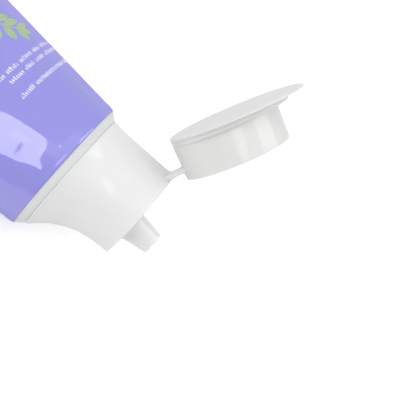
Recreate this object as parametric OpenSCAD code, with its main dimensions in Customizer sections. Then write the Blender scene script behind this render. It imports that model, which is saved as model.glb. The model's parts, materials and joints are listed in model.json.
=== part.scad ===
// Squeeze tube with a screw-on flip-top cap, lying on its flat side with the lid open.
// Each piece is drawn in the cap's own frame: +Z runs along the tube towards the nozzle,
// from the plane where the sleeve meets the shoulder, +X points at the hinge, and the
// thumb side is at -X. lie_down() then lays the whole tube on the floor.

/* [Tube] */
// Diameter of the filled sleeve beside the shoulder
tube_d = 38; // [36:0.5:42]
// Length of the sleeve, from the shoulder to the end of the seal
sleeve_len = 120; // [100:1:150]
// Length of the flat sealed end
seal_len = 8; // [6:0.5:12]
// Thickness of the flat sealed end
seal_t = 0.9; // [0.7:0.1:1.4]
// Amount by which the sleeve's edge rounds in at the shoulder
edge_inset = 0.5; // [0.3:0.1:0.8]
// Length over which the sleeve's edge rounds in
edge_len = 3; // [2:0.5:5]

/* [Shoulder and neck] */
// Height of the sloped ring that shows between sleeve and cap
shoulder_h = 2.1; // [1.5:0.1:3]
// Outer diameter of the neck, over its thread
neck_d = 14; // [13:0.5:15]
// Height of the neck's mouth above the sleeve
neck_top = 16.4; // [15:0.2:17]
// Diameter of the neck's mouth
mouth_d = 8.4; // [7:0.2:9]

/* [Cap] */
// Step from the sleeve in to the cap's rim, on the radius
rim_step = 2.1; // [1.8:0.1:3]
// Height of the cap from its rim to the deck
cap_h = 19.7; // [19:0.1:22]
// Length of the deck from the hinge wall to the thumb edge
deck_len = 25.7; // [25:0.1:28]
// How fast the thumb hollow sweeps in above the rim
sweep_power = 2.7; // [2:0.1:3.5]
// Wall of the cap and the lid
wall = 1.2; // [1:0.1:1.4]
// Number of ribs between the socket and the cap's wall
rib_count = 7; // [5:1:9]

/* [Nozzle] */
// Length of the nozzle above the deck
nozzle_len = 7.6; // [6.5:0.1:8]
// Diameter of the nozzle just above its root
nozzle_base_d = 7.9; // [7.4:0.1:8.4]
// Diameter of the nozzle's tip
nozzle_tip_d = 5.9; // [5.6:0.1:6.4]
// Diameter of the outlet
outlet_d = 4.2; // [4:0.1:4.4]

/* [Lid] */
// Height of the closed lid above the parting line
lid_h = 11.1; // [10.6:0.1:13]
// Diameter of the flat disc that the closed tube stands on
disc_d = 35.5; // [34.5:0.5:36]
// Length of the thick band below the disc
band_len = 31; // [30:0.5:32]
// Depth of the disc and its band together
band_h = 2.1; // [1.8:0.1:2.6]
// Length of the lid's skirt at its mouth
skirt_len = 27.6; // [27:0.1:28.5]
// Diameter of the pin that plugs the outlet
plug_d = 2.7; // [2.4:0.1:2.9]

/* [Hinge and pose] */
// Width of the hinge strap
strap_w = 8; // [6:0.5:10]
// Angle by which the lid stands open
lid_open = 154.7; // [150:0.1:165]
// Turn of the hinge up from the tube's flat plane
cap_turn = 40; // [35:1:50]

/* [Hidden] */
$fn = 96;

// Clearances
rim_gap = 0.25;
part_gap = 0.3;
neck_gap = 0.3;
strap_gap = 0.06;
plug_reach = 1.2;

// Sleeve
sleeve_r = tube_d / 2;
edge_r = sleeve_r - edge_inset;
seal_w = PI / 2 * sleeve_r;
seal_start = sleeve_len - seal_len;
sleeve_sides = 72;
edge_rings = 3;
belly_rings = 12;
swell_power = 1.75;
seal_fullness = 6;
seal_waist = 0.05;

// Shoulder and neck
neck_r = neck_d / 2;
mouth_r = mouth_d / 2;
land_r = edge_r - shoulder_h - 0.1;
neck_foot = 4.6;
lip_t = 0.9;
lip_h = 1.4;

// Cap, seen along the tube
rim_r = sleeve_r - rim_step;
wall_r = rim_r - 0.3;
rim_z = shoulder_h + rim_gap;
deck_z = rim_z + cap_h;
deck_front = deck_len - wall_r;
rim_round = 0.45;
deck_round = 0.25;
loft_sides = 64;
sweep_rings = 14;
deck_t = 1.4;

// Socket that takes the neck
socket_r = neck_r + neck_gap;
socket_outer_r = socket_r + 1.3;
socket_foot = 4.9;
seat_z = neck_top + 0.3;
rib_t = 1;
rib_foot = 7;
rib_span = 200;

// Nozzle
tip_z = deck_z + nozzle_len;
root_d = nozzle_base_d + 1.5;
root_h = 1.1;
tip_round = 0.3;

// Lid, drawn closed: its circles all touch the hinge wall
lid_foot = deck_z + part_gap;
lid_top = lid_foot + lid_h;
disc_r = disc_d / 2;
disc_x = wall_r - disc_r;
disc_bevel = 0.3;
disc_bevel_w = 1.2;
disc_lip = 0.35;
band_r = band_len / 2;
band_x = wall_r - band_r;
skirt_r = skirt_len / 2;
skirt_flare = 0.25;
skirt_x = wall_r - skirt_r - 0.1;
ceiling_t = 1.4;
ceiling_z = lid_top - ceiling_t;
plug_tip = tip_z - plug_reach;
plug_foot_d = plug_d + 1.6;
plug_foot_h = 1.2;

// Hinge axis, beyond the deck and outside the wall
hinge_x = wall_r + 1.17;
hinge_z = deck_z + 1.32;
strap_root = 2.4;
strap_end_low = 2.1;
strap_end_high = 3.2;
bend_steps = 8;

// Lying pose: the sleeve's underside touches at the shoulder and at the end of the seal
tilt = atan((sleeve_r - seal_t / 2) / (sleeve_len - edge_len));
axis_z = sleeve_r * cos(tilt) + edge_len * sin(tilt);

// A point of the plane through the hinge, as [along X, along Z], after the lid has opened
function opened(x, z, a = lid_open) = [
    hinge_x + (x - hinge_x) * cos(a) + (z - hinge_z) * sin(a),
    hinge_z + (z - hinge_z) * cos(a) - (x - hinge_x) * sin(a)];

// Directions of the hinge and of the tube's axis on the floor
hinge_way = [-sin(cap_turn) * sin(tilt), cos(cap_turn)];
tube_way = [cos(tilt), 0];
function laid(p) = p[0] * hinge_way + p[1] * tube_way;

// Furthest reach of a circle of the open lid along the floor's X or Y
lid_normal = sin(lid_open) * hinge_way + cos(lid_open) * tube_way;
function reach(x, z, r, i) = laid(opened(x, z))[i] + r * sqrt(1 - lid_normal[i] * lid_normal[i]);
disc_lip_z = lid_top - disc_bevel;
x_high = reach(skirt_x, lid_foot, skirt_r, 0);
x_low = -sleeve_len * cos(tilt) - seal_t / 2 * sin(tilt);
y_high = max(reach(disc_x, disc_lip_z, disc_r, 1), reach(disc_x, disc_lip_z - disc_lip, disc_r, 1));
y_low = -seal_w;

// Lays the tube down, with its origin under the middle of the whole
module lie_down() {
    translate([-(x_low + x_high) / 2, -(y_low + y_high) / 2, axis_z])
        rotate([0, 90 - tilt, 0])
            children();
}

// Turns the cap on the neck
module on_neck() {
    lie_down() rotate([0, 0, 90 + cap_turn]) children();
}

// Closed skin over a stack of rings that all have the same number of points
module loft(rings) {
    sides = len(rings[0]);
    last = len(rings) - 1;
    points = [for (ring = rings) each ring];
    sheets = [for (i = [0:last - 1], j = [0:sides - 1])
        let (k = (j + 1) % sides, low = i * sides, high = low + sides)
            each [[low + j, high + j, high + k], [low + j, high + k, low + k]]];
    foot = [for (j = [0:sides - 1]) j];
    head = [for (j = [sides - 1:-1:0]) last * sides + j];
    polyhedron(points, concat([foot], sheets, [head]), convexity = 6);
}

// Section of the sleeve: half thickness b along X, half width w along Y. A fullness over 1
// gives it flat faces between rounded edges, and a waist thins its middle by that share.
function sleeve_ring(z, b, w, fullness = 1, waist = 0) = [for (j = [0:sleeve_sides - 1])
    let (a = 360 * j / sleeve_sides, flat = max(-1, min(1, fullness * cos(a))))
        [b * flat * (1 - waist * pow(cos(a), 2)), w * sin(a), z]];

// The belly keeps its girth while it thins from the shoulder to the seal
function belly_w(s) = sleeve_r + (seal_w - sleeve_r) * (1 - pow(1 - s, swell_power));
function belly_b(s) = sleeve_r + (seal_t / 2 - sleeve_r) * s;

module tube_sleeve() {
    edge = [for (i = [0:edge_rings])
        let (a = 90 * i / edge_rings, r = edge_r + edge_inset * sin(a))
            sleeve_ring(-edge_len * (1 - cos(a)), r, r)];
    belly = [for (i = [1:belly_rings - 1])
        let (s = i / belly_rings)
            sleeve_ring(-edge_len - s * (seal_start - edge_len), belly_b(s), belly_w(s))];
    seal = [for (z = [seal_start, sleeve_len])
        sleeve_ring(-z, seal_t / 2, seal_w, seal_fullness, seal_waist)];
    color("#a9a0e6") lie_down() loft(concat(edge, belly, seal));
}

module tube_head() {
    color("#f4f4f2") on_neck()
        rotate_extrude()
            polygon([
                [mouth_r, 0],
                [edge_r, 0],
                [edge_r - 0.1, 0.1],
                [land_r, shoulder_h],
                [land_r - 2, shoulder_h],
                [neck_r + 1, neck_foot - 0.8],
                [neck_r, neck_foot],
                [neck_r, neck_top - lip_h],
                [neck_r - lip_t, neck_top - lip_h + 0.5],
                [neck_r - lip_t, neck_top],
                [mouth_r, neck_top]]);
}

// Section of the cap: a circle that reaches back to the hinge wall and forward to the thumb side
function cap_ring(z, back, front, inset) = [for (j = [0:loft_sides - 1])
    let (a = 360 * j / loft_sides, r = (back + front) / 2 - inset)
        [(back - front) / 2 + r * cos(a), r * sin(a), z]];

// Reach of the thumb side and of the hinge wall at v, which runs from 0 at the rim to 1 at the deck
function thumb_reach(v) = deck_front + (rim_r - deck_front) * pow(1 - v, sweep_power);
function hinge_reach(v) = wall_r + (rim_r - wall_r) * pow(1 - v, 12);
function sweep_z(v) = rim_z + rim_round + v * (cap_h - rim_round - deck_round);

module cap_body() {
    rim = [for (i = [0:2])
        let (a = 30 * i)
            cap_ring(rim_z + rim_round * (1 - cos(a)), rim_r, rim_r, rim_round * (1 - sin(a)))];
    sweep = [for (i = [0:sweep_rings])
        let (v = pow(i / sweep_rings, 1.4))
            cap_ring(sweep_z(v), hinge_reach(v), thumb_reach(v), 0)];
    loft(concat(rim, sweep, [cap_ring(deck_z, wall_r, deck_front, deck_round)]));
}

module cap_hollow() {
    below = rim_z - 1;
    roof = (deck_z - deck_t - sweep_z(0)) / (sweep_z(1) - sweep_z(0));
    sweep = [for (i = [0:sweep_rings - 4])
        let (v = roof * pow(i / (sweep_rings - 4), 1.4))
            cap_ring(sweep_z(v), hinge_reach(v), thumb_reach(v), wall)];
    difference() {
        loft(concat([cap_ring(below, rim_r, rim_r, wall)], sweep));
        translate([0, 0, socket_foot]) cylinder(r = socket_outer_r, h = deck_z);
        for (i = [0:rib_count - 1])
            rotate([0, 0, rib_span * (i / (rib_count - 1) - 0.5)])
                translate([0, -rib_t / 2, rib_foot]) cube([sleeve_r, rib_t, deck_z]);
    }
}

module nozzle() {
    translate([0, 0, deck_z])
        rotate_extrude()
            polygon([
                [0, -deck_t / 2],
                [root_d / 2, -deck_t / 2],
                [root_d / 2, 0.25],
                [nozzle_base_d / 2 + 0.2, 0.6],
                [nozzle_base_d / 2, root_h],
                [nozzle_tip_d / 2, nozzle_len - tip_round],
                [nozzle_tip_d / 2 - tip_round, nozzle_len],
                [0, nozzle_len]]);
}

module cap_base() {
    color("#f7f7f5") on_neck()
        difference() {
            union() {
                cap_body();
                nozzle();
            }
            cap_hollow();
            translate([0, 0, rim_z - 1]) cylinder(r = socket_r, h = seat_z - rim_z + 1);
            cylinder(d = outlet_d, h = tip_z + 1);
        }
}

module lid_disc() {
    translate([disc_x, 0, lid_top])
        rotate_extrude()
            polygon([
                [0, -ceiling_t],
                [band_r - 2, -ceiling_t],
                [disc_r, -disc_bevel - disc_lip],
                [disc_r, -disc_bevel],
                [disc_r - disc_bevel_w, 0],
                [0, 0]]);
}

module lid_shell() {
    difference() {
        union() {
            translate([band_x, 0, lid_top - band_h]) cylinder(r = band_r, h = band_h - disc_bevel - disc_lip);
            translate([skirt_x, 0, lid_foot])
                cylinder(r1 = skirt_r, r2 = skirt_r + skirt_flare, h = lid_h - ceiling_t);
        }
        translate([skirt_x, 0, lid_foot - 1])
            cylinder(r = skirt_r - wall, h = lid_h - ceiling_t + 1);
    }
}

module lid_plug() {
    translate([0, 0, plug_tip + plug_d / 4]) cylinder(d = plug_d, h = ceiling_z - plug_tip);
    translate([0, 0, plug_tip]) cylinder(d1 = plug_d / 2, d2 = plug_d, h = plug_d / 4);
    translate([0, 0, ceiling_z - plug_foot_h]) cylinder(d1 = plug_d, d2 = plug_foot_d, h = plug_foot_h + 0.5);
}

// Opens the lid about the hinge axis
module open_lid() {
    translate([hinge_x, 0, hinge_z])
        rotate([0, lid_open, 0])
            translate([-hinge_x, 0, -hinge_z])
                children();
}

module cap_lid() {
    color("#f7f7f5") on_neck() open_lid()
        union() {
            lid_disc();
            lid_shell();
            lid_plug();
        }
}

// Point of a quarter bend from p to q that leaves p along the wall
function bend(p, q, s) = [p[0] + (q[0] - p[0]) * (1 - cos(90 * s)), p[1] + (q[1] - p[1]) * sin(90 * s)];

module hinge_strap() {
    low_end = opened(wall_r - wall / 2, lid_foot + strap_end_high);
    high_end = opened(wall_r - wall / 2, lid_foot + strap_end_low);
    foot = [wall_r, deck_z - strap_root];
    under = [for (i = [0:bend_steps]) bend(foot, low_end, i / bend_steps)];
    profile = concat([[wall_r - wall / 2, deck_z - 0.3], [wall_r - wall / 2, foot[1]]], under, [high_end]);
    color("#f7f7f5") on_neck()
        difference() {
            rotate([90, 0, 0])
                linear_extrude(height = strap_w, center = true) polygon(profile);
            cap_body();
            open_lid()
                translate([skirt_x, 0, lid_foot - 1])
                    cylinder(r = skirt_r + skirt_flare + strap_gap, h = lid_h);
        }
}

tube_sleeve();
tube_head();
cap_base();
hinge_strap();
cap_lid();
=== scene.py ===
"""Builds the looks of a squeeze tube with a flip-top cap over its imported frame."""

import json
import math

import bmesh
import bpy
import numpy as np
from bpy.props import FloatProperty, FloatVectorProperty, IntProperty, PointerProperty
from mathutils import Matrix, Vector


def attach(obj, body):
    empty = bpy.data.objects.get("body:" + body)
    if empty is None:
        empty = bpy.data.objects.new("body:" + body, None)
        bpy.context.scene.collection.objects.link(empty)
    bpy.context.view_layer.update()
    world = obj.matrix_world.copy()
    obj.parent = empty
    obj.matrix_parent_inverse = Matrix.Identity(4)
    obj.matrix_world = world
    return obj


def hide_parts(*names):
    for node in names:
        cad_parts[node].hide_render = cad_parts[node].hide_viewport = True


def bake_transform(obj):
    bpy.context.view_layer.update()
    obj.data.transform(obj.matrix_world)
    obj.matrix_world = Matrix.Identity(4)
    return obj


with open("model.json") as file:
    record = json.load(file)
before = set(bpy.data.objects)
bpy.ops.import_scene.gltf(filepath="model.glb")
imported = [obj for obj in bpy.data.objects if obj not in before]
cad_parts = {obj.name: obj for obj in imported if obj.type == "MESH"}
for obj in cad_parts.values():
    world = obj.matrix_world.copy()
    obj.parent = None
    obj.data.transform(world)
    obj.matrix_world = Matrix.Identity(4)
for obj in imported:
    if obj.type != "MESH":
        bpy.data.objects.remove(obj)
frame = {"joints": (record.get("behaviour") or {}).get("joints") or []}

bl_info = {
    "name": "Toothpaste tube",
    "version": (1, 0, 0),
    "blender": (4, 5, 0),
    "location": "View3D > Sidebar > Tube",
    "description": "Builds a squeeze tube with a flip-top cap over its packed frame",
    "category": "Add Mesh",
}

MM = 0.001


def length(name, text, mm, least=0.0):
    """A size that the user may change, given in millimetres and kept in metres."""
    low = least * MM
    return FloatProperty(name=name, description=text, default=mm * MM, min=low, unit="LENGTH", precision=5)


def number(name, text, default, least=0.0, most=1000.0):
    """A plain number that the user may change."""
    return FloatProperty(name=name, description=text, default=default, min=least, max=most)


def angle(name, text, degrees):
    """An angle that the user may change, given in degrees and kept in radians."""
    return FloatProperty(name=name, description=text, default=math.radians(degrees), subtype="ANGLE")


def paint(name, text, rgb):
    """A colour that the user may change."""
    return FloatVectorProperty(
        name=name, description=text, default=rgb, min=0, max=1, size=3, subtype="COLOR"
    )


class TubeSizes(bpy.types.PropertyGroup):
    """Sizes of the sleeve, its seal, the shoulder and the neck."""

    diameter: length("Diameter", "Diameter of the filled sleeve beside the shoulder", 38)
    sleeve_length: length("Sleeve length", "From the shoulder to the end of the seal", 120)
    seal_length: length("Seal length", "Length of the flat sealed end", 8)
    seal_thickness: length("Seal thickness", "Thickness of the flat sealed end", 0.9)
    edge_inset: length("Edge inset", "How far the sleeve's edge rounds in at the shoulder", 0.5)
    edge_length: length("Edge length", "Length over which the sleeve's edge rounds in", 3)
    swell: number("Swell", "How fast the sleeve widens towards the seal", 1.75, 1)
    rib_pitch: length("Seal rib pitch", "Distance between the ribs pressed into the seal", 1.25)
    shoulder_height: length("Shoulder height", "Height of the sloped ring below the cap", 2.1)
    neck_diameter: length("Neck diameter", "Outer diameter of the neck, over its thread", 14)
    neck_top: length("Neck top", "Height of the neck's mouth above the sleeve", 16.4)
    mouth_diameter: length("Mouth diameter", "Diameter of the neck's mouth", 8.4)
    thread_depth: length("Thread depth", "How far the thread stands out of the neck", 0.6)
    thread_turns: number("Thread turns", "Turns of the neck's thread", 2.5, 1)


class CapSizes(bpy.types.PropertyGroup):
    """Sizes of the cap base with its nozzle and strap."""

    rim_radius: length("Rim radius", "Radius of the cap's rim", 16.9)
    wall_reach: length("Wall reach", "Distance from the tube's axis to the hinge wall", 16.6)
    thumb_reach: length("Thumb reach", "Distance from the axis to the deck's thumb edge", 9.1)
    rim_height: length("Rim height", "Height of the rim above the sleeve", 2.13)
    deck_height: length("Deck height", "Height of the deck above the sleeve", 22.05)
    sweep: number("Sweep", "How fast the thumb hollow sweeps in", 2.7, 1)
    wall: length("Wall", "Wall thickness of cap and lid", 1.2)
    nozzle_length: length("Nozzle length", "Length of the nozzle above the deck", 7.6)
    nozzle_base: length("Nozzle base", "Diameter of the nozzle above its root", 7.9)
    nozzle_tip: length("Nozzle tip", "Diameter of the nozzle's tip", 5.9)
    outlet: length("Outlet", "Diameter of the outlet", 4.2)
    socket_radius: length("Socket radius", "Radius of the socket on the neck", 7.3)
    socket_foot: length("Socket foot", "Height of the socket's lower edge", 4.9)
    seat_height: length("Seat height", "Height of the seat over the neck's mouth", 16.7)
    rib_count: IntProperty(name="Ribs", description="Ribs between the socket and the wall", default=7, min=2)
    strap_width: length("Strap width", "Width of the hinge strap", 8)


class LidSizes(bpy.types.PropertyGroup):
    """Sizes of the lid, given closed."""

    foot: length("Foot", "Height of the lid's mouth above the sleeve", 22.35)
    height: length("Height", "Height of the lid", 11.1)
    disc_diameter: length("Disc", "Diameter of the flat disc", 35.5)
    band_length: length("Band", "Length of the thick band below the disc", 31)
    band_height: length("Band height", "Depth of disc and band together", 2.1)
    skirt_length: length("Skirt", "Length of the skirt at its mouth", 27.6)
    plug_diameter: length("Plug", "Diameter of the pin that plugs the outlet", 2.7)
    plug_reach: length("Plug reach", "How far the pin goes into the outlet", 1.2)
    opening: angle("Opening", "Angle by which the lid stands open", 154.7)


class Finishes(bpy.types.PropertyGroup):
    """Colours of the sleeve, its print, the white mouldings and the floor."""

    sleeve: paint("Sleeve", "Ground colour of the sleeve", (0.283, 0.267, 0.76))
    marks: paint("Marks", "Rows of small marks on the sleeve", (0.93, 0.93, 0.98))
    leaf: paint("Leaf", "Sprig in the corner of the panel", (0.36, 0.58, 0.10))
    white: paint("White", "Cap base and strap", (0.83, 0.83, 0.825))
    # The lid is the same white plastic as the cap; its darker white is painted shade for the thin lid.
    lid: paint("Lid", "Thin lid, through which some light is lost", (0.76, 0.76, 0.75))
    head: paint("Head", "Shoulder ring and neck", (0.78, 0.80, 0.80))
    floor: paint("Floor", "Seamless paper that the tube lies on", (0.93, 0.93, 0.93))


class PrintLayout(bpy.types.PropertyGroup):
    """Places of the plain print on the sleeve."""

    panel_turn: angle("Panel turn", "Turn of the panel's middle from the top of the flat sleeve", -30)
    mark_height: length("Mark height", "Height of the tallest marks in a row", 1.3)
    mark_pitch: length("Mark pitch", "Distance between the marks of a row", 0.62)
    run_length: length("Run length", "Mean length of a run of marks between two gaps", 4.6)
    sprig_across: length("Sprig across", "Place of the sprig's foot across the panel", 4, -40)
    sprig_down: length("Sprig down", "Distance of the sprig's foot from the shoulder", 47)
    sprig_size: length("Sprig size", "Length of the sprig", 21)


class StageSettings(bpy.types.PropertyGroup):
    """Camera and light."""

    focal: number("Focal length", "Focal length over a 36 mm sensor", 76.75)
    eye_along: length("Eye along", "Camera's place along the tube from the shoulder", 7.81, -1000)
    eye_hinge: length("Eye to hinge", "Camera's place towards the hinge", 51.13, -1000)
    eye_across: length("Eye above", "Camera's place across the tube, above the cap", 210.6, -1000)
    room: number("Room", "Brightness of the white room", 0.74)
    dimming: number("Dimming", "Share of the room's light lost at the camera's side", 0.32, 0, 1)
    backdrop: number("Backdrop", "Whiteness behind the tube", 1.05)
    paper: number("Paper", "Whiteness added to the paper for the camera", 0.3)
    key: number("Key", "Brightness of the softbox over the sleeve", 3.0)
    side: number("Side", "Brightness of the softbox beyond the lid", 2.0)
    front: number("Front", "Brightness of the small softbox over the cap", 1.8)
    top: number("Top", "Brightness of the broad light overhead", 0.4)


def joint(name):
    """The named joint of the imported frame."""
    return next(j for j in frame["joints"] if j["name"] == name)


# The cap's own directions: along the tube, across it, and towards the hinge
ALONG = Vector(joint("cap_off")["axis"])
ACROSS = Vector(joint("lid_hinge")["axis"])
HINGEWARD = ACROSS.cross(ALONG)

# The hinge line, which lies outside the hinge wall and above the deck
HINGE_POINT = Vector(joint("lid_hinge")["pos_m"])
HINGE_OUT = 1.17 * MM
HINGE_UP = 1.32 * MM


def centre():
    """Centre of the plane where the sleeve meets the shoulder."""
    cap = bpy.context.scene.cap_sizes
    inwards = HINGEWARD * (cap.wall_reach + HINGE_OUT)
    return HINGE_POINT - inwards - ALONG * (cap.deck_height + HINGE_UP)


def cap_frame():
    """Matrix from the cap's frame, +X to the hinge and +Z to the nozzle, to the floor's."""
    turn = Matrix((HINGEWARD, ACROSS, ALONG)).transposed()
    return Matrix.Translation(centre()) @ turn.to_4x4()


def sleeve_frame():
    """Matrix from the sleeve's frame, +X up from its flat side and +Z to the nozzle, to the floor's."""
    up = ALONG.cross(Vector((0, 1, 0)))
    up = up if up.z > 0 else -up
    turn = Matrix((up, ALONG.cross(up), ALONG)).transposed()
    return Matrix.Translation(centre()) @ turn.to_4x4()


def lid_frame():
    """The cap's frame turned about the hinge line, for pieces drawn as on the closed lid."""
    cap, lid = bpy.context.scene.cap_sizes, bpy.context.scene.lid_sizes
    pivot = Matrix.Translation((cap.wall_reach + HINGE_OUT, 0, cap.deck_height + HINGE_UP))
    return cap_frame() @ pivot @ Matrix.Rotation(lid.opening, 4, "Y") @ pivot.inverted()


# Meshes made of rings. A ring is (back, front, z): a circle that reaches back to the hinge
# and forward to the thumb side. A corner is a ring with the size of its rounding added.

# Steps of an arc, share of an edge that it may take, and share of the rest at which a ring stands beside it
ARC_STEPS = 5
ARC_MOST = 0.48
ARC_LEAD = 0.04
# Radius of the smallest ring, beside a pole
POLE = 0.02 * MM


def axial(radius, z, rounding=0.0):
    """A corner that is centred on the tube's axis, its rounding in millimetres."""
    return radius, radius, z, rounding * MM


def softened(corners):
    """Path of rings through corners, each cut by a smooth arc where it has a rounding."""
    path = []
    for i, (*ring, rounding) in enumerate(corners):
        here = np.array(ring)
        if rounding <= 0:
            path.append(here)
            continue
        before = np.array(corners[i - 1][:3])
        after = np.array(corners[(i + 1) % len(corners)][:3])
        start = here + (before - here) * min(rounding / np.linalg.norm(before - here), ARC_MOST)
        end = here + (after - here) * min(rounding / np.linalg.norm(after - here), ARC_MOST)
        path.append(start + (before - start) * ARC_LEAD)
        for k in range(ARC_STEPS + 1):
            t = k / ARC_STEPS
            path.append(start * (1 - t) ** 2 + here * 2 * t * (1 - t) + end * t**2)
        path.append(end + (after - end) * ARC_LEAD)
    return path


def skin(name, path, place, sides=192, closed=False):
    """Mesh object over a path of rings. A path that isn't closed starts and ends in a pole."""
    turn = np.linspace(0, 2 * math.pi, sides, endpoint=False)
    rings = []
    for back, front, z in path:
        radius, middle = (back + front) / 2, (back - front) / 2
        columns = [middle + radius * np.cos(turn), radius * np.sin(turn), np.full(sides, z)]
        rings.append(np.stack(columns, 1))
    return sheet_of_rings(name, rings, place, closed)


def sheet_of_rings(name, rings, place, closed=False):
    """Mesh object over stacked rings of points, with poles at both ends unless it is closed."""
    sides, count = len(rings[0]), len(rings)
    points = np.concatenate(rings)
    faces = []
    for i in range(count if closed else count - 1):
        low, high = i * sides, (i + 1) % count * sides
        for j in range(sides):
            k = (j + 1) % sides
            faces.append((low + j, low + k, high + k, high + j))
    if not closed:
        poles = np.array([rings[0].mean(0), rings[-1].mean(0)])
        points = np.concatenate([points, poles])
        first, last = count * sides, (count - 1) * sides
        faces += [((j + 1) % sides, j, first) for j in range(sides)]
        faces += [(last + j, last + (j + 1) % sides, first + 1) for j in range(sides)]
    mesh = bpy.data.meshes.new(name)
    mesh.from_pydata([place @ Vector(p) for p in points], [], faces)
    return finished(name, mesh)


def linked(name, data):
    """A new object with this data, in the scene."""
    made = bpy.data.objects.new(name, data)
    bpy.context.scene.collection.objects.link(made)
    return made


def finished(name, mesh):
    """Object over a closed mesh, with normals outwards and smooth faces."""
    work = bmesh.new()
    work.from_mesh(mesh)
    bmesh.ops.remove_doubles(work, verts=work.verts, dist=1e-7)
    bmesh.ops.recalc_face_normals(work, faces=work.faces)
    work.to_mesh(mesh)
    work.free()
    mesh.shade_smooth()
    return linked(name, mesh)


def settle(piece, body, look, replaces=()):
    """Puts a finished piece on its body and its material, look."""
    piece.data.materials.clear()
    piece.data.materials.append(look)
    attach(piece, body)
    for node in replaces:
        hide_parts(node)


# Node trees


class Wiring:
    """Adds nodes to a tree and joins them, for shaders and geometry alike."""

    def __init__(self, tree):
        self.tree = tree

    def put(self, kind, inputs=None, **settings):
        """A new node with its settings and its inputs."""
        node = self.tree.nodes.new(kind)
        for key, value in settings.items():
            setattr(node, key, value)
        self.fill(node, inputs or {})
        return node

    def fill(self, node, inputs):
        """Feeds a node's inputs by name or place."""
        for key, value in inputs.items():
            self.feed(node.inputs[key], value)

    def feed(self, socket, value):
        """Joins a socket to another one or to a node's first output, or sets it to a plain value."""
        if isinstance(value, bpy.types.NodeSocket):
            self.tree.links.new(value, socket)
        elif isinstance(value, bpy.types.Node):
            self.tree.links.new(value.outputs[0], socket)
        else:
            socket.default_value = value

    def math(self, operation, *values):
        node = self.put("ShaderNodeMath", operation=operation)
        for socket, value in zip(node.inputs, values):
            self.feed(socket, value)
        return node.outputs[0]

    def plus(self, first, second):
        return self.math("ADD", first, second)

    def minus(self, first, second):
        return self.math("SUBTRACT", first, second)

    def over(self, first, second):
        return self.math("DIVIDE", first, second)

    def times(self, product, *others):
        for other in others:
            product = self.math("MULTIPLY", product, other)
        return product

    def root(self, value):
        return self.math("SQRT", value)

    def absolute(self, value):
        return self.math("ABSOLUTE", value)

    def above(self, value, limit):
        """1 above the limit and 0 below it."""
        return self.math("GREATER_THAN", value, limit)

    def smooth(self, value, low, high):
        """0 below low, 1 above high, smooth between them."""
        ends = {0: value, 1: low, 2: high}
        return self.put("ShaderNodeMapRange", ends, interpolation_type="SMOOTHSTEP").outputs[0]

    def point(self, x=0.0, y=0.0, z=0.0):
        return self.put("ShaderNodeCombineXYZ", {"X": x, "Y": y, "Z": z})

    def axes(self, vector):
        """The X, Y and Z outputs of a vector."""
        return self.put("ShaderNodeSeparateXYZ", {0: vector}).outputs

    def object_place(self):
        return self.put("ShaderNodeTexCoord").outputs["Object"]

    def noise(self, spot, scale, detail=2.0, roughness=0.5, distortion=0.0):
        values = {"Vector": spot, "Scale": scale, "Detail": detail}
        values.update({"Roughness": roughness, "Distortion": distortion})
        return self.put("ShaderNodeTexNoise", values).outputs[0]

    def mix(self, share, first, second):
        """The first colour where share is 0 and the second where it is 1."""
        ends = [c if isinstance(c, bpy.types.NodeSocket) else (*c, 1) for c in (first, second)]
        node = self.put("ShaderNodeMix", {0: share, 6: ends[0], 7: ends[1]}, data_type="RGBA")
        return node.outputs[2]

    def group(self, name, build, values, outputs=("Mask",)):
        """The outputs of a node group, built once and placed with these values."""
        tree = group_tree(name, build, values, outputs)
        return self.put("ShaderNodeGroup", values, node_tree=tree).outputs

    def bump(self, shader, height, strength, distance):
        """Gives a shader's surface a relief."""
        values = {"Height": height, "Strength": strength, "Distance": distance}
        self.fill(shader, {"Normal": self.put("ShaderNodeBump", values)})


def group_tree(name, build, values, outputs=(), kind="ShaderNodeTree"):
    """The node group that build wires, made once, with a number socket for each value and output.

    A geometry group also takes a geometry and a material and gives a geometry.
    """
    if name in bpy.data.node_groups:
        return bpy.data.node_groups[name]
    tree = bpy.data.node_groups.new(name, kind)
    if kind == "GeometryNodeTree":
        for way in ("INPUT", "OUTPUT"):
            tree.interface.new_socket("Geometry", in_out=way, socket_type="NodeSocketGeometry")
        tree.interface.new_socket("Material", in_out="INPUT", socket_type="NodeSocketMaterial")
    for label, value in values.items():
        socket_type = "NodeSocketInt" if isinstance(value, int) else "NodeSocketFloat"
        socket = tree.interface.new_socket(label, in_out="INPUT", socket_type=socket_type)
        if isinstance(value, (int, float)):
            socket.default_value = value
    for label in outputs:
        tree.interface.new_socket(label, in_out="OUTPUT", socket_type="NodeSocketFloat")
    wire = Wiring(tree)
    wire.put("NodeGroupOutput", build(wire, wire.put("NodeGroupInput").outputs))
    return tree


# Materials of the mouldings


def mould_finish(wire, given):
    """Faint flow marks and grain of moulded plastic, as a height, a roughness and a tone."""
    spot = wire.object_place()
    grain = wire.noise(spot, 2600.0, roughness=0.6)
    flow = wire.noise(spot, 130.0, detail=3.0, distortion=0.6)
    height = wire.plus(wire.times(grain, given["Grain"]), flow)
    rough = wire.math("MULTIPLY_ADD", wire.minus(flow, 0.5), 0.18, given["Roughness"])
    return {"Height": height, "Roughness": rough, "Tone": flow}


def material(name, base, roughness, specular=0.5):
    """A node material with a Principled shader. Returns the material, its wiring and the shader."""
    made = bpy.data.materials.new(name)
    made.use_nodes = True
    wire, shader = Wiring(made.node_tree), made.node_tree.nodes["Principled BSDF"]
    wire.fill(shader, {"Base Color": (*base, 1), "Roughness": roughness, "Specular IOR Level": specular})
    return made, wire, shader


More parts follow.
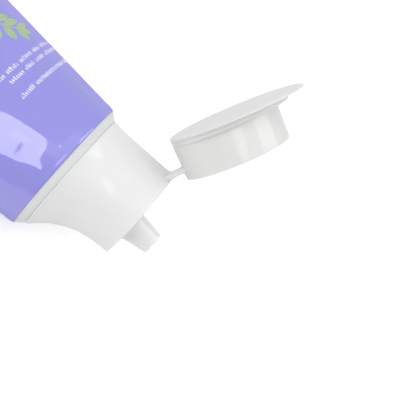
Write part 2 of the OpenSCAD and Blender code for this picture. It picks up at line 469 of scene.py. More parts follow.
def gloss_coat(wire, shader, roughness, ior, start, end):
    """Gives a shader a clear gloss that fades at grazing views, where the real one looks matt."""
    fading = wire.smooth(wire.put("ShaderNodeLayerWeight").outputs["Facing"], start, end)
    weight = wire.math("MULTIPLY_ADD", fading, -0.9, 1.0)
    wire.fill(shader, {"Coat Weight": weight, "Coat Roughness": roughness, "Coat IOR": ior})


def moulded(name, base, roughness, coat_roughness):
    """Moulded plastic that lets a little light through: a gloss over faint grain and flow marks."""
    if name in bpy.data.materials:
        return bpy.data.materials[name]
    made, wire, shader = material(name, base, roughness, 0.08)
    gloss_coat(wire, shader, coat_roughness, 1.45, 0.3, 0.75)
    reach = (2.2 * MM, 2.0 * MM, 1.8 * MM)
    wire.fill(shader, {"Subsurface Weight": 0.25, "Subsurface Radius": reach, "Subsurface Scale": 1.0})
    values, outputs = {"Grain": 0.3, "Roughness": roughness}, ("Height", "Roughness", "Tone")
    finish = wire.group("Mould finish", mould_finish, values, outputs)
    tone = wire.mix(finish["Tone"], [c * 0.975 for c in base], base)
    wire.fill(shader, {"Base Color": tone, "Roughness": finish["Roughness"]})
    wire.bump(shader, finish["Height"], 0.03, 0.1 * MM)
    return made


def cap_white():
    """White plastic of the cap base and its strap."""
    return moulded("Cap white", bpy.context.scene.tube_finishes.white, 0.35, 0.02)


# Shape of the sleeve. The share s runs along it from the shoulder (0) to the seal (1).

# How deep the filled sleeve gives way, in slow hollows, in folds and in a fine ripple
HOLLOW_DEPTH = 0.22 * MM
FOLD_DEPTH = 0.13 * MM
RIPPLE_DEPTH = 0.025 * MM

SLEEVE_SIDES = 256
BELLY_RINGS = 130
EDGE_RINGS = 8
# Fullness of the seal's section, which makes both of its faces flat
SEAL_FULLNESS = 6


def belly(s):
    """Half of the sleeve's depth and half of its width."""
    tube = bpy.context.scene.tube_sizes
    r = tube.diameter / 2
    depth = r + (tube.seal_thickness / 2 - r) * s
    return depth, r + (math.pi / 2 - 1) * r * (1 - (1 - s) ** tube.swell)


def belly_stretch(z):
    """Width over depth of the sleeve's section at height z, which keeps its wrap even."""
    tube = bpy.context.scene.tube_sizes
    seal_start = tube.sleeve_length - tube.seal_length
    s = min(max((-z - tube.edge_length) / (seal_start - tube.edge_length), 0), 1)
    depth, width = belly(s)
    return width / depth


def sleeve_ring(z, half_depth, half_width, turn, fullness=1.0):
    """Points of one section of the sleeve, up from its flat side along X. A fullness over 1 flattens it."""
    x = half_depth * np.clip(fullness * np.cos(turn), -1, 1)
    return np.stack([x, half_width * np.sin(turn), np.full(len(turn), z)], 1)


def dent(turn, z):
    """How far the filled sleeve gives way, inwards, at angles turn and height z."""
    s = min(max(-z / bpy.context.scene.tube_sizes.sleeve_length, 0), 1)
    fade = math.sin(math.pi * min(s * 1.15, 1)) ** 0.5
    hollows = 0.5 + 0.5 * np.sin(3 * turn + 5.1 * s + 0.6)
    folds = 0.5 + 0.5 * np.sin(5 * turn - 9.0 * s + 2.1 * np.sin(2 * turn + 7 * s))
    ripple = np.sin(17 * turn + 60 * s + 1.7 * np.sin(9 * turn - 31 * s))
    return fade * (HOLLOW_DEPTH * hollows + FOLD_DEPTH * folds) + RIPPLE_DEPTH * ripple * min(s * 25, 1)


def sleeve_rings():
    """Sections of the sleeve: the flat seal, the dented belly and the edge that rounds in."""
    tube = bpy.context.scene.tube_sizes
    turn = np.linspace(0, 2 * math.pi, SLEEVE_SIDES, endpoint=False)
    radius, edge_r = tube.diameter / 2, tube.diameter / 2 - tube.edge_inset
    end, seal_start = -tube.sleeve_length, tube.sleeve_length - tube.seal_length
    rings = []
    for z in (end, end + 0.3 * MM, -seal_start - 0.5 * MM, -seal_start + 0.2 * MM):
        rings.append(sleeve_ring(z, *belly(1), turn, SEAL_FULLNESS))
    for s in np.linspace(0.99, 0, BELLY_RINGS):
        z = -tube.edge_length - s * (seal_start - tube.edge_length)
        fullness = 1 + (SEAL_FULLNESS - 1) * max((s - 0.92) / 0.08, 0) ** 2
        depth, width = belly(s)
        ring = sleeve_ring(z, depth, width, turn, fullness)
        inward = -ring * np.array([1, 1, 0]) / np.linalg.norm(ring[:, :2], axis=1)[:, None]
        share = min(1, depth / radius)
        rings.append(ring + inward * (dent(turn, z) * share)[:, None])
    for i in range(1, EDGE_RINGS + 1):
        a = math.pi / 2 * i / EDGE_RINGS
        r = edge_r + tube.edge_inset * math.cos(a)
        rings.append(sleeve_ring(-tube.edge_length * (1 - math.sin(a)), r, r, turn))
    return rings


def wrap_sleeve(piece, place):
    """UV map in metres: across from the panel's middle line, and down from the shoulder."""
    back = place.inverted()
    layer = piece.data.uv_layers.new(name="Wrap")
    panel = bpy.context.scene.sleeve_print.panel_turn
    radius = bpy.context.scene.tube_sizes.diameter / 2
    spots = [back @ v.co for v in piece.data.vertices]
    turns = []
    for p in spots:
        around = math.atan2(p.y / belly_stretch(p.z), p.x) - panel
        turns.append((around + math.pi) % (2 * math.pi) - math.pi)
    for face in piece.data.polygons:
        face_turns = [turns[v] for v in face.vertices]
        wraps = max(face_turns) - min(face_turns) > math.pi
        for corner, v in zip(face.loop_indices, face.vertices):
            turn = turns[v] + 2 * math.pi if wraps and turns[v] < 0 else turns[v]
            layer.data[corner].uv = (turn * radius, -spots[v].z)


# Print on the sleeve

# Rows of small marks: distance from the shoulder and half length, in millimetres
ROWS = ((17.3, 11.8), (21.6, 10.8), (23.9, 14.5))
# Width over which the marks' upper and lower ends fade
MARK_BLUR = 0.08 * MM

# Sprig: pairs of leaves along the stem, and how far each leaf leans from it
LEAF_PAIRS = 5
LEAF_LEAN = 0.75


def row_of_marks(wire, given):
    """Mask of one row of short upright marks of uneven height, in runs of uneven length."""
    place = wire.over(given["Across"], given["Pitch"])
    cell = wire.math("FLOOR", place)
    middle = wire.times(wire.plus(cell, 0.5), given["Pitch"])
    runs = wire.put(
        "ShaderNodeTexVoronoi",
        {"W": wire.plus(wire.over(middle, given["Run"]), given["Seed"]), "Scale": 1.0, "Randomness": 0.7},
        voronoi_dimensions="1D",
        feature="DISTANCE_TO_EDGE",
    )
    to_gap = wire.times(runs.outputs["Distance"], given["Run"])
    inside = wire.above(to_gap, wire.times(given["Pitch"], 0.4))
    kept = wire.times(inside, wire.above(wire.minus(given["Half"], wire.absolute(middle)), 0.0))

    seeded = wire.plus(cell, given["Seed"])
    chance = wire.put("ShaderNodeTexWhiteNoise", {"W": seeded}, noise_dimensions="1D")
    share = wire.math("MULTIPLY_ADD", wire.math("POWER", chance.outputs["Value"], 2.0), 0.35, 0.65)
    half_height = wire.times(given["Height"], share, 0.5)
    foot = wire.minus(given["Row"], wire.times(given["Height"], 0.5))
    aside = wire.absolute(wire.minus(given["Down"], wire.plus(foot, half_height)))
    tall = wire.minus(1.0, wire.smooth(wire.minus(aside, half_height), -MARK_BLUR, MARK_BLUR))
    off = wire.absolute(wire.minus(wire.math("FRACT", place), 0.5))
    wide = wire.minus(1.0, wire.smooth(off, 0.26, 0.42))
    return {"Mask": wire.times(tall, wide, kept)}


def leaf(wire, given):
    """Mask of one pointed leaf with a bare midrib: a lens between two arcs."""
    spot = wire.point(given["Across"], given["Down"])
    values = {"Vector": spot, "Angle": given["Turn"]}
    turned = wire.axes(wire.put("ShaderNodeVectorRotate", values, rotation_type="Z_AXIS"))
    along = wire.over(turned["X"], given["Length"])
    aside = wire.absolute(wire.over(turned["Y"], given["Length"]))
    bow = wire.times(along, wire.minus(1.0, along), 2.0)
    edge = wire.minus(wire.times(bow, given["Width"]), aside)
    return {"Mask": wire.times(wire.smooth(edge, 0.0, 0.03), wire.smooth(aside, 0.01, 0.025))}


def row_mask(wire, across, down):
    """The rows of marks as one mask."""
    layout = bpy.context.scene.sleeve_print
    rows = 0.0
    for i, (below, half) in enumerate(ROWS):
        values = {
            "Across": across,
            "Down": down,
            "Row": below * MM,
            "Height": layout.mark_height,
            "Pitch": layout.mark_pitch,
            "Half": half * MM,
            "Run": layout.run_length,
            "Seed": 7.3 * i + 3.1,
        }
        row = wire.group("Row of marks", row_of_marks, values)
        rows = wire.math("MAXIMUM", rows, row["Mask"])
    return rows


def sprig_mask(wire, across, down):
    """A bowed stem with pairs of leaves, and one more at its tip, as one mask."""
    layout = bpy.context.scene.sleeve_print
    size = layout.sprig_size
    bow = size * 1.1
    hub = layout.sprig_across - bow
    aside = wire.minus(across, hub)
    below = wire.minus(down, layout.sprig_down)
    reach = wire.root(wire.plus(wire.times(aside, aside), wire.times(below, below)))
    off = wire.absolute(wire.minus(reach, bow))
    line = wire.minus(1.0, wire.smooth(off, 0.12 * MM, 0.26 * MM))
    upward = wire.times(wire.math("LESS_THAN", below, 0.0), wire.above(below, -size * 0.8))
    sprig = wire.times(line, upward, wire.above(aside, 0.0))
    for i in range(LEAF_PAIRS):
        swing = 0.16 + 0.62 * i / (LEAF_PAIRS - 1)
        leaf_across = hub + bow * math.cos(swing)
        leaf_down = layout.sprig_down - bow * math.sin(swing)
        heading = math.atan2(-math.cos(swing), -math.sin(swing))
        leans = (LEAF_LEAN, -LEAF_LEAN) if i < LEAF_PAIRS - 1 else (LEAF_LEAN, -LEAF_LEAN, 0.0)
        for lean in leans:
            values = {
                "Across": wire.minus(across, leaf_across),
                "Down": wire.minus(down, leaf_down),
                "Turn": -(heading + lean),
                "Length": size * (0.36 - 0.035 * i),
                "Width": 0.4,
            }
            sprig = wire.math("MAXIMUM", sprig, wire.group("Leaf", leaf, values)["Mask"])
    return sprig


def sleeve_laminate():
    """Lavender laminate with its print under a clear gloss, and a faint ripple."""
    finishes = bpy.context.scene.tube_finishes
    made, wire, shader = material("Lavender laminate", finishes.sleeve, 0.34, 0.12)
    gloss_coat(wire, shader, 0.04, 1.8, 0.4, 0.85)
    wrap = wire.axes(wire.put("ShaderNodeUVMap", uv_map="Wrap"))
    spot = wire.object_place()
    ground = wire.mix(wire.noise(spot, 45.0), [c * 0.95 for c in finishes.sleeve], finishes.sleeve)
    leafed = wire.mix(wire.times(sprig_mask(wire, wrap["X"], wrap["Y"]), 0.9), ground, finishes.leaf)
    cover = wire.times(wire.smooth(wire.noise(spot, 1500.0, detail=1.0), 0.1, 0.75), 0.85)
    rows = wire.times(row_mask(wire, wrap["X"], wrap["Y"]), cover)
    rough = wire.math("MULTIPLY_ADD", wire.noise(spot, 1200.0), 0.1, 0.36)
    wire.fill(shader, {"Base Color": wire.mix(rows, leafed, finishes.marks), "Roughness": rough})
    wire.bump(shader, wire.noise(spot, 95.0), 1.0, 0.2 * MM)
    return made


# Repeats made by geometry nodes


def made_by_nodes(name, group, build, values, place, look):
    """Runs a geometry group on an empty mesh and returns its result as a plain, placed mesh object."""
    tree = group_tree(group, build, values, kind="GeometryNodeTree")
    values = {**values, "Material": look}
    carrier = linked(name + " carrier", bpy.data.meshes.new(name + " seed"))
    modifier = carrier.modifiers.new("Build", "NODES")
    modifier.node_group = tree
    for item in tree.interface.items_tree:
        if item.in_out == "INPUT" and item.name in values:
            modifier[item.identifier] = values[item.name]
    bpy.context.view_layer.update()
    graph = bpy.context.evaluated_depsgraph_get()
    mesh = bpy.data.meshes.new_from_object(carrier.evaluated_get(graph), depsgraph=graph)
    mesh.name = name
    mesh.transform(place)
    bpy.data.objects.remove(carrier)
    return finished(name, mesh)


def painted(wire, given, geometry):
    """The geometry with the given material, as the output of a geometry group."""
    values = {"Geometry": geometry, "Material": given["Material"]}
    return {"Geometry": wire.put("GeometryNodeSetMaterial", values)}


def rib_row(wire, given):
    """A row of small bars, evenly spaced across the seal, on both of its faces."""
    bars = wire.put("GeometryNodeJoinGeometry")
    for side in (1.0, -1.0):
        height = wire.times(given["Lift"], side)
        start = wire.point(height, wire.times(given["Half width"], -1.0), given["Middle"])
        end = wire.point(height, given["Half width"], given["Middle"])
        values = {"Count": given["Count"], "Start Location": start, "Offset": end}
        row = wire.put("GeometryNodeMeshLine", values, mode="END_POINTS")
        size = wire.point(given["Height"], given["Height"], given["Length"])
        values = {"Size": size, "Vertices X": 2, "Vertices Y": 3, "Vertices Z": 2}
        bar = wire.put("GeometryNodeMeshCube", values)
        wire.feed(bars.inputs[0], wire.put("GeometryNodeInstanceOnPoints", {"Points": row, "Instance": bar}))
    return painted(wire, given, wire.put("GeometryNodeRealizeInstances", {"Geometry": bars}))


def coiled_thread(wire, given):
    """A rounded thread that climbs the neck."""
    values = {"Resolution": 48, "Rotations": given["Turns"], "Height": given["Rise"]}
    values.update({"Start Radius": given["Radius"], "End Radius": given["Radius"]})
    coil = wire.put("GeometryNodeCurveSpiral", values)
    lift = wire.point(z=given["Foot"])
    lifted = wire.put("GeometryNodeTransform", {"Geometry": coil, "Translation": lift})
    profile = wire.put("GeometryNodeCurvePrimitiveCircle", {"Resolution": 10, "Radius": given["Ridge"]})
    values = {"Curve": lifted, "Profile Curve": profile, "Fill Caps": True}
    ridge = wire.put("GeometryNodeCurveToMesh", values)
    return painted(wire, given, wire.put("GeometryNodeRealizeInstances", {"Geometry": ridge}))


def radial_ribs(wire, given):
    """Radial ribs around the socket, evenly spread, whose outer edges end inside the cap's wall."""
    plate_depth = 2 * MM
    size = wire.point(plate_depth, given["Thickness"], wire.minus(given["Top"], given["Foot"]))
    values = {"Size": size, "Vertices X": 2, "Vertices Y": 2, "Vertices Z": 16}
    plate = wire.put("GeometryNodeMeshCube", values)
    out = wire.plus(given["Inner"], plate_depth / 2)
    up = wire.times(wire.plus(given["Foot"], given["Top"]), 0.5)
    moved = wire.put("GeometryNodeTransform", {"Geometry": plate, "Translation": wire.point(out, z=up)})
    spots = wire.put("GeometryNodePoints", {"Count": given["Count"]})
    share = wire.over(wire.put("GeometryNodeInputIndex"), wire.minus(given["Count"], 1.0))
    turn = wire.point(z=wire.times(wire.minus(share, 0.5), given["Span"]))
    values = {"Points": spots, "Instance": moved, "Rotation": turn}
    ribs = wire.put("GeometryNodeInstanceOnPoints", values)
    real = wire.put("GeometryNodeRealizeInstances", {"Geometry": ribs})

    # The wall at a point's height is a circle that reaches back and front by different amounts
    place = wire.put("GeometryNodeInputPosition")
    here = wire.axes(place)
    climb = wire.over(wire.minus(here["Z"], given["Low"]), wire.minus(given["High"], given["Low"]))
    curve = wire.math("POWER", wire.minus(1.0, climb), given["Sweep"])
    front_span = wire.minus(given["Rim"], given["Front"])
    front = wire.math("MULTIPLY_ADD", front_span, curve, given["Front"])
    middle = wire.times(wire.minus(given["Back"], front), 0.5)
    radius = wire.times(wire.plus(given["Back"], front), 0.5)

    # The outer edge of each rib is drawn out to that circle, straight away from the axis
    x_squared = wire.times(here["X"], here["X"])
    from_axis = wire.root(wire.plus(x_squared, wire.times(here["Y"], here["Y"])))
    rise = wire.times(middle, wire.over(here["Y"], from_axis))
    chord = wire.root(wire.minus(wire.times(radius, radius), wire.times(rise, rise)))
    wall = wire.plus(wire.times(middle, wire.over(here["X"], from_axis)), chord)
    scale = wire.over(wall, from_axis)
    values = {0: place, 1: wire.point(scale, scale, 1.0)}
    stretched = wire.put("ShaderNodeVectorMath", values, operation="MULTIPLY")
    values = {"Geometry": real, "Selection": wire.above(from_axis, out), "Position": stretched}
    return painted(wire, given, wire.put("GeometryNodeSetPosition", values))


# Operators, one for each piece or group of like pieces


class TUBE_OT_sleeve(bpy.types.Operator):
    """Build the printed sleeve with the ribs of its seal"""

    bl_idname = "tube.sleeve"
    bl_label = "Sleeve"

    def execute(self, context):
        tube = context.scene.tube_sizes
        place = sleeve_frame()
        sleeve = sheet_of_rings("printed_sleeve", sleeve_rings(), place)
        wrap_sleeve(sleeve, place)
        settle(sleeve, "tube", sleeve_laminate(), ("tube_sleeve",))
        side_margin, end_margin, sunk = 1.2 * MM, 0.8 * MM, 0.14 * MM
        half = belly(1)[1] - side_margin
        plain = moulded("Lavender seal", context.scene.tube_finishes.sleeve, 0.35, 0.1)
        values = {
            "Count": round(2 * half / tube.rib_pitch),
            "Half width": half,
            "Length": tube.seal_length - 2 * end_margin,
            "Height": 0.3 * MM,
            "Lift": tube.seal_thickness / 2 - sunk,
            "Middle": -tube.sleeve_length + tube.seal_length / 2,
        }
        ribs = made_by_nodes("seal_ribs", "Rib row", rib_row, values, place, plain)
        settle(ribs, "tube", plain)
        return {"FINISHED"}


class TUBE_OT_head(bpy.types.Operator):
    """Build the shoulder ring and the threaded neck"""

    bl_idname = "tube.head"
    bl_label = "Shoulder and neck"

    def execute(self, context):
        tube = context.scene.tube_sizes
        edge = tube.diameter / 2 - tube.edge_inset
        land = context.scene.cap_sizes.rim_radius - 0.15 * MM
        neck, mouth = tube.neck_diameter / 2, tube.mouth_diameter / 2
        root = neck - tube.thread_depth
        lip = neck - 0.9 * MM
        corners = [
            axial(mouth, 0),
            axial(edge, 0, 0.08),
            axial(edge - 0.1 * MM, 0.1 * MM, 0.05),
            axial(land, tube.shoulder_height, 0.08),
            axial(land - 2 * MM, tube.shoulder_height, 0.3),
            axial(neck + 1 * MM, 3.8 * MM, 0.4),
            axial(root, 4.6 * MM, 0.4),
            axial(root, tube.neck_top - 1.4 * MM, 0.2),
            axial(lip, tube.neck_top - 0.9 * MM, 0.2),
            axial(lip, tube.neck_top, 0.25),
            axial(mouth, tube.neck_top, 0.3),
        ]
        white = moulded("Head white", context.scene.tube_finishes.head, 0.5, 0.3)
        head = skin("shoulder_and_neck", softened(corners), cap_frame(), closed=True)
        settle(head, "tube", white, ("tube_head",))
        values = {
            "Turns": tube.thread_turns,
            "Radius": root + 0.05 * MM,
            "Foot": 6.5 * MM,
            "Rise": 6.5 * MM,
            "Ridge": tube.thread_depth - 0.08 * MM,
        }
        thread = made_by_nodes("neck_thread", "Neck thread", coiled_thread, values, cap_frame(), white)
        settle(thread, "tube", white)
        return {"FINISHED"}


def cap_sweep(v):
    """Reach back, reach forward and height of the cap's wall, from rim (0) to deck (1)."""
    cap = bpy.context.scene.cap_sizes
    low, high = cap.rim_height + 0.3 * MM, cap.deck_height - 0.25 * MM
    front = cap.thumb_reach + (cap.rim_radius - cap.thumb_reach) * (1 - v) ** cap.sweep
    back = cap.wall_reach + (cap.rim_radius - cap.wall_reach) * (1 - v) ** 12
    return back, front, low + v * (high - low)


def cap_path():
    """Closed path of rings round the cap's wall: outside, deck, nozzle, channel, socket and hollow."""
    cap = bpy.context.scene.cap_sizes
    rim, deck, rim_inside = cap.rim_height, cap.deck_height, cap.rim_radius - cap.wall
    rim_soft = 0.1 * MM
    outside = []
    for a in np.linspace(0, math.pi / 2, 7)[:-1]:
        radius = cap.rim_radius - (1 - math.sin(a)) * rim_soft
        outside.append(np.array((radius, radius, rim + (1 - math.cos(a)) * rim_soft)))
    outside += [np.array(cap_sweep(v)) for v in np.linspace(0, 0.985, 60) ** 1.3]
    base, tip, tip_z = cap.nozzle_base / 2, cap.nozzle_tip / 2, deck + cap.nozzle_length
    channel, socket = cap.outlet / 2, cap.socket_radius
    outer_socket = socket + 1.3 * MM
    roof = deck - 1.4 * MM
    roof_back, roof_front, _ = cap_sweep(0.93)
    corners = [
        (cap.wall_reach, cap.thumb_reach, deck, 0.3 * MM),
        axial(base + 1.0 * MM, deck, 0.15),
        axial(base + 0.3 * MM, deck + 0.5 * MM, 0.3),
        axial(base, deck + 1.2 * MM, 0.3),
        axial(tip, tip_z, 0.35),
        axial(channel, tip_z, 0.2),
        axial(channel, cap.seat_height, 0.15),
        axial(socket, cap.seat_height, 0.2),
        axial(socket, cap.socket_foot, 0.3),
        axial(outer_socket, cap.socket_foot, 0.3),
        axial(outer_socket, roof, 0.3),
        (roof_back - cap.wall, roof_front - cap.wall, roof, 0.4 * MM),
    ]
    inside = []
    for v in np.linspace(0.9, 0, 40):
        back, front, z = cap_sweep(v)
        inside.append(np.array((back - cap.wall, front - cap.wall, z)))
    foot = [
        np.array((rim_inside, rim_inside, rim + 0.2 * MM)),
        np.array((rim_inside + 0.2 * MM, rim_inside + 0.2 * MM, rim)),
    ]
    top = softened([(*outside[-1], 0), *corners, (*inside[0], 0)])
    return outside + top[1:-1] + inside + foot


class TUBE_OT_cap(bpy.types.Operator):
    """Build the cap base with its nozzle, socket and ribs"""

    bl_idname = "tube.cap"
    bl_label = "Cap base"

    def execute(self, context):
        cap, white = context.scene.cap_sizes, cap_white()
        shell = skin("cap_shell", cap_path(), cap_frame(), sides=256, closed=True)
        settle(shell, "cap", white, ("cap_base",))
        values = {
            "Count": cap.rib_count,
            "Span": math.radians(200),
            "Inner": cap.socket_radius + 0.9 * MM,
            "Thickness": 1 * MM,
            "Foot": 7 * MM,
            "Top": cap.deck_height - 1 * MM,
            "Rim": cap.rim_radius - cap.wall / 2,
            "Back": cap.wall_reach - cap.wall / 2,
            "Front": cap.thumb_reach - cap.wall / 2,
            "Low": cap_sweep(0)[2],
            "High": cap_sweep(1)[2],
            "Sweep": cap.sweep,
        }
        ribs = made_by_nodes("socket_ribs", "Socket ribs", radial_ribs, values, cap_frame(), white)
        settle(ribs, "cap", white)
        return {"FINISHED"}


def turned_point(x, z):
    """A point drawn on the closed lid, in the cap's frame once the lid has opened."""
    return cap_frame().inverted() @ lid_frame() @ Vector((x, 0, z))


def bent(start, end, t, sag):
    """Point of a curve that leaves the wall steeply and reaches the lid flat."""
    x = start.x + (end.x - start.x) * (1 - sag) * 0.6
    corner = Vector((x, 0, start.z + (end.z - start.z) * sag))
    return start * (1 - t) ** 2 + corner * 2 * t * (1 - t) + end * t**2


class TUBE_OT_strap(bpy.types.Operator):
    """Build the strap hinge that joins the lid to the cap"""

    bl_idname = "tube.strap"
    bl_label = "Hinge strap"

    def execute(self, context):
        cap, lid = context.scene.cap_sizes, context.scene.lid_sizes
        fixed, turned = cap_frame(), lid_frame()
        wall, deck, foot = cap.wall_reach, cap.deck_height, lid.foot
        rows, columns, flare = 16, 15, 0.35
        inner = wall - 0.5 * MM
        under = (Vector((inner, 0, deck - 2.6 * MM)), turned_point(inner, foot + 3.3 * MM))
        over = (Vector((inner, 0, deck - 0.35 * MM)), turned_point(inner, foot + 2.0 * MM))
        lid_inwards = (turned_point(0, 0) - turned_point(1, 0)).normalized()
        ends = (Vector((-1, 0, 0)), (wall + cap.thumb_reach) / 2), (lid_inwards, lid.skirt_length / 2)

        def across(point, t, j):
            """The point moved across the strap and, near the ends, in towards the round walls."""
            width = cap.strap_width * (1 + flare * (1 - math.sin(math.pi * t)))
            y = (j / (columns - 1) - 0.5) * width
            moved = point + Vector((0, y, 0))
            for (way, radius), nearness in zip(ends, (1 - t, t)):
                moved += way * (radius - math.sqrt(radius**2 - y**2)) * nearness**2
            return moved

        rings = []
        for i in range(rows + 1):
            t = i / rows
            low = bent(under[0], under[1], t, 0.9)
            high = bent(over[0], over[1], t, 0.35)
            loop = [across(low, t, j) for j in range(columns)]
            loop += [across(high, t, j) for j in reversed(range(columns))]
            rings.append(np.array([tuple(p) for p in loop]))
        strap = sheet_of_rings("hinge_strap_web", rings, fixed)
        strap.data.materials.append(cap_white())
        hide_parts("hinge_strap")
        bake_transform(strap)
        return {"FINISHED"}


def lid_path():
    """Path of rings from the middle of the lid's flat face round to the tip of its plug."""
    cap, lid = bpy.context.scene.cap_sizes, bpy.context.scene.lid_sizes
    wall, foot, top = cap.wall_reach, lid.foot, lid.foot + lid.height
    disc, band = lid.disc_diameter - wall, lid.band_length - wall
    skirt = lid.skirt_length - wall + 0.1 * MM
    back, band_back = wall - 0.1 * MM, wall - 0.02 * MM
    band_foot, ceiling = top - lid.band_height, top - 1.4 * MM
    tip = cap.deck_height + cap.nozzle_length - lid.plug_reach
    middle = (wall - disc) / 2
    pin = lid.plug_diameter / 2
    corners = [
        (middle + POLE, -middle + POLE, top, 0),
        (wall - 1.2 * MM, disc - 1.2 * MM, top, 0.5 * MM),
        (wall, disc, top - 0.3 * MM, 0.12 * MM),
        (wall, disc, top - 0.65 * MM, 0.12 * MM),
        (band_back, band + 0.1 * MM, top - 1.15 * MM, 0.2 * MM),
        (band_back, band, band_foot, 0.35 * MM),
        (back + 0.15 * MM, skirt + 0.2 * MM, band_foot - 0.05 * MM, 0.4 * MM),
        (back, skirt, foot, 0.25 * MM),
        (back - cap.wall, skirt - cap.wall, foot, 0.25 * MM),
        (back - cap.wall, skirt - cap.wall, ceiling, 0.5 * MM),
        axial(pin + 0.8 * MM, ceiling, 0.3),
        axial(pin, ceiling - 1.2 * MM, 0.3),
        axial(pin, tip + 0.6 * MM, 0.3),
        axial(pin * 0.5, tip, 0.2),
        axial(POLE, tip),
    ]
    return softened(corners)


class TUBE_OT_lid(bpy.types.Operator):
    """Build the lid with its disc, band, skirt and plug"""

    bl_idname = "tube.lid"
    bl_label = "Lid"

    def execute(self, context):
        # The lid's darker white, on the same plastic as the cap, is painted shade.
        white = moulded("Lid white with painted shade", context.scene.tube_finishes.lid, 0.35, 0.02)
        lid = skin("lid_shell", lid_path(), lid_frame(), sides=256)
        settle(lid, "lid", white, ("cap_lid",))
        return {"FINISHED"}


# Stage. Directions are in the cap's frame: towards the hinge, across the tube, along the tube.

CAMERA_RIGHT = Vector((0.668, -0.028, 0.744))
CAMERA_UP = Vector((0.727, -0.192, -0.660))
FLOOR_HALF = 3.0

# Softboxes: name, way to the box, way along it, distance, and its length and width in metres
SOFTBOXES = (
    ("Key", Vector((0.123, 0.908, -0.402)), Vector((-0.926, 0.231, 0.299)), 0.5, (0.46, 0.17)),
    ("Side", Vector((0.84, 0.2, 0.46)), Vector((0, 1, 0)), 0.6, (0.36, 0.2)),
    ("Front", Vector((0.28, 0.9, 0.3)), Vector((0.41, -0.15, 0.05)), 0.6, (0.25, 0.07)),
)
TOP_HEIGHT = 1.2
TOP_SIZE = (1.2, 1.2)


def camera_turn():
    """The camera's right, up and back as a rotation."""
    basis = cap_frame().to_3x3()
    right = (basis @ CAMERA_RIGHT).normalized()
    up = basis @ CAMERA_UP
    up = (up - right * up.dot(right)).normalized()
    return Matrix((right, up, right.cross(up))).transposed()


def softbox(name, place, target, long_way, size, brightness):
    """Rectangular light at place that faces target, its length along long_way."""
    away = (place - target).normalized()
    length_way = (long_way - away * long_way.dot(away)).normalized()
    turn = Matrix((length_way, away.cross(length_way), away)).transposed()
    light = bpy.data.lights.new(name, "AREA")
    light.shape = "RECTANGLE"
    light.size, light.size_y = size
    light.energy = brightness * math.pi * size[0] * size[1]
    linked(name, light).matrix_world = Matrix.Translation(place) @ turn.to_4x4()


def light_room():
    """White room, dimmer at the camera's side, and an even white backdrop for the camera."""
    stage = bpy.context.scene.tube_stage
    world = bpy.data.worlds.new("Studio")
    world.use_nodes = True
    wire = Wiring(world.node_tree)
    way = wire.axes(wire.put("ShaderNodeTexCoord").outputs["Generated"])
    near = wire.smooth(way["Y"], 0.0, -1.0)
    glow = wire.math("MULTIPLY_ADD", near, -stage.room * stage.dimming, stage.room)
    seen = wire.put("ShaderNodeLightPath").outputs["Is Camera Ray"]
    shown = wire.put("ShaderNodeMix", {0: seen, 2: glow, 3: stage.backdrop}, data_type="FLOAT")
    wire.fill(world.node_tree.nodes["Background"], {"Color": (1, 1, 1, 1), "Strength": shown})
    bpy.context.scene.world = world


def place_softboxes():
    """Softboxes over the sleeve, beyond the lid and over the cap, and a broad light overhead."""
    stage = bpy.context.scene.tube_stage
    basis, middle = cap_frame().to_3x3(), centre()
    for name, way, long_way, distance, size in SOFTBOXES:
        place = middle + (basis @ way).normalized() * distance
        softbox(name, place, middle, basis @ long_way, size, getattr(stage, name.lower()))
    softbox("Top", Vector((0, 0, TOP_HEIGHT)), Vector((0, 0, 0)), Vector((1, 0, 0)), TOP_SIZE, stage.top)


def paper_white():
    """Seamless paper with a faint tooth, whitened for the camera as a cut-out picture is."""
    scene = bpy.context.scene
    made, wire, shader = material("Seamless paper", scene.tube_finishes.floor, 0.9)
    wire.bump(shader, wire.noise(wire.object_place(), 900.0), 0.03, 0.1 * MM)
    seen = wire.put("ShaderNodeLightPath").outputs["Is Camera Ray"]
    glow = wire.times(seen, scene.tube_stage.paper)
    wire.fill(shader, {"Emission Color": (1, 1, 1, 1), "Emission Strength": glow})
    return made


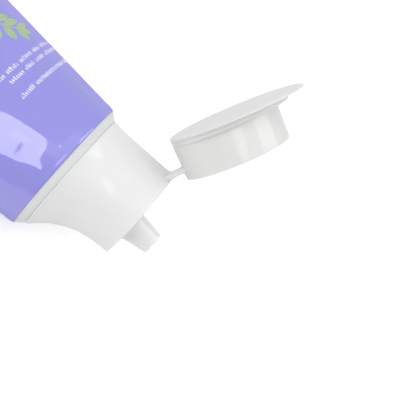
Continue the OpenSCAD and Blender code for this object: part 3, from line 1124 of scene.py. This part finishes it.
class TUBE_OT_stage(bpy.types.Operator):
    """Set the floor, the soft light and the camera"""

    bl_idname = "tube.stage"
    bl_label = "Stage"

    def execute(self, context):
        scene, stage = context.scene, context.scene.tube_stage
        floor_mesh = bpy.data.meshes.new("floor")
        corners = [(x * FLOOR_HALF, y * FLOOR_HALF, 0) for x, y in ((-1, -1), (1, -1), (1, 1), (-1, 1))]
        floor_mesh.from_pydata(corners, [], [(0, 1, 2, 3)])
        floor_mesh.materials.append(paper_white())
        floor = linked("floor", floor_mesh)

        lens = bpy.data.cameras.new("Camera")
        lens.sensor_width = 36
        lens.lens = stage.focal
        lens.clip_start = 0.01
        scene.camera = linked("Camera", lens)
        eye = cap_frame() @ Vector((stage.eye_hinge, stage.eye_across, stage.eye_along))
        scene.camera.matrix_world = Matrix.Translation(eye) @ camera_turn().to_4x4()
        light_room()
        place_softboxes()
        scene.view_settings.view_transform = "Standard"
        return {"FINISHED"}


class TUBE_PT_panel(bpy.types.Panel):
    """Lists the operators that build the tube"""

    bl_idname = "TUBE_PT_panel"
    bl_label = "Toothpaste tube"
    bl_space_type = "VIEW_3D"
    bl_region_type = "UI"
    bl_category = "Tube"

    def draw(self, context):
        for operator in OPERATORS:
            self.layout.operator(operator.bl_idname)


OPERATORS = (TUBE_OT_sleeve, TUBE_OT_head, TUBE_OT_cap, TUBE_OT_strap, TUBE_OT_lid, TUBE_OT_stage)
SETTINGS = {
    "tube_sizes": TubeSizes,
    "cap_sizes": CapSizes,
    "lid_sizes": LidSizes,
    "tube_finishes": Finishes,
    "sleeve_print": PrintLayout,
    "tube_stage": StageSettings,
}
CLASSES = (*SETTINGS.values(), *OPERATORS, TUBE_PT_panel)


def register():
    for part in CLASSES:
        bpy.utils.register_class(part)
    for name, group in SETTINGS.items():
        setattr(bpy.types.Scene, name, PointerProperty(type=group))


def unregister():
    for name in SETTINGS:
        delattr(bpy.types.Scene, name)
    for part in reversed(CLASSES):
        bpy.utils.unregister_class(part)


def main():
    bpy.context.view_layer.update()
    register()
    bpy.ops.tube.sleeve()
    bpy.ops.tube.head()
    bpy.ops.tube.cap()
    bpy.ops.tube.strap()
    bpy.ops.tube.lid()
    bpy.ops.tube.stage()


if __name__ == "__main__":
    main()
